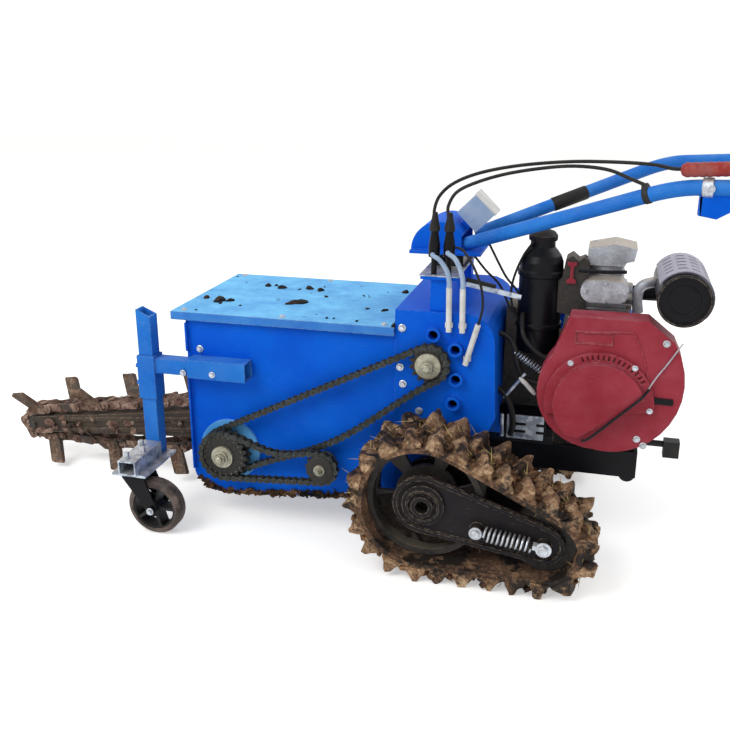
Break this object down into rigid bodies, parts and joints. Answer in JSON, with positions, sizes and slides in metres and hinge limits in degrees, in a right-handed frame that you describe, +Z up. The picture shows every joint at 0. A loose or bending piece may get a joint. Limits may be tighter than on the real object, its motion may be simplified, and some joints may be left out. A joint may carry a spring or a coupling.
{
  "type": "chain trencher",
  "caption": "Walk-behind chain trencher on rubber tracks: digging boom with cutter chain, sheet-metal box with chain drive, depth wheel, air-cooled engine and handlebars.",
  "frame": {"origin": "on the ground, under the middle of the machine's length and width", "axes": "+X to the operator, +Y to the side away from the chain drive, +Z up"},
  "size_m": [2.3001, 0.84, 1.0162],
  "materials": {
    "blue_paint": "gloss enamel, dusty",
    "red_paint": "satin enamel, dusty",
    "black_paint": "satin black, dusty",
    "bare_steel": "machined, oily",
    "dark_steel": "dark, dusty",
    "chain_steel": "oiled, dark",
    "muddy_steel": "worn steel caked with dry mud",
    "galvanised_steel": "galvanised",
    "cast_aluminium": "as cast",
    "track_rubber": "caked with dry mud",
    "caster_rubber": "dusty",
    "grip_rubber": "moulded",
    "red_plastic": "dip coated",
    "white_plastic": "moulded",
    "black_plastic": "moulded"
  },
  "bodies": {
    "chassis": {"track_near": "track_rubber", "track_far": "track_rubber", "drive_wheels": "dark_steel", "idlers": "dark_steel", "track_frames": "dark_steel", "drive_axle": "bare_steel", "box_near_wall": "blue_paint", "box_far_wall": "blue_paint", "box_front": "blue_paint", "lid": "blue_paint", "gear_case": "blue_paint", "bearing_seats": "blue_paint", "head_shaft": "bare_steel", "drive_sprocket": "bare_steel", "cross_shaft": "bare_steel", "upper_chain": "chain_steel", "lower_chain": "chain_steel", "depth_socket": "blue_paint", "depth_bar": "blue_paint", "engine_frame": "black_paint", "engine_block": "cast_aluminium", "cylinder_head": "cast_aluminium", "fan_shroud": "red_paint", "recoil_starter": "red_paint", "starter_handle": "black_plastic", "air_cleaner": "black_paint", "intake_pipe": "cast_aluminium", "muffler": "black_paint", "muffler_guard": "black_paint", "belt_guard": "blue_paint", "column": "blue_paint", "seat_bracket": "black_paint", "handlebar_seat": "blue_paint", "handlebars": "blue_paint", "grips": "grip_rubber", "hand_lever": "red_plastic", "control_box": "white_plastic", "control_cables": "black_plastic", "cable_adjusters": "white_plastic"},
    "boom": {"boom_bar": "muddy_steel", "digging_chain": "muddy_steel", "digging_sprocket": "dark_steel", "nose_roller": "dark_steel"},
    "depth_post": {"depth_post": "blue_paint", "caster_arm": "galvanised_steel"},
    "caster_fork": {"caster_fork": "black_paint"},
    "caster_wheel": {"caster_hub": "black_plastic", "caster_tyre": "caster_rubber"}
  },
  "joints": [
    {"name": "boom_pivot", "type": "hinge", "parent": "chassis", "child": "boom", "pos_m": [-0.306, 0, 0.204], "axis": [0, -1, 0], "range_deg": [-10, 40]},
    {"name": "depth_post_slide", "type": "slide", "parent": "chassis", "child": "depth_post", "axis": [0, 0, 1], "range_m": [-0.04, 0.11]},
    {"name": "caster_swivel", "type": "hinge", "parent": "depth_post", "child": "caster_fork", "pos_m": [-0.52, -0.35, 0.14], "axis": [0, 0, 1], "continuous": true},
    {"name": "caster_spin", "type": "hinge", "parent": "caster_fork", "child": "caster_wheel", "pos_m": [-0.47, -0.35, 0.076], "axis": [0, 1, 0], "continuous": true}
  ]
}
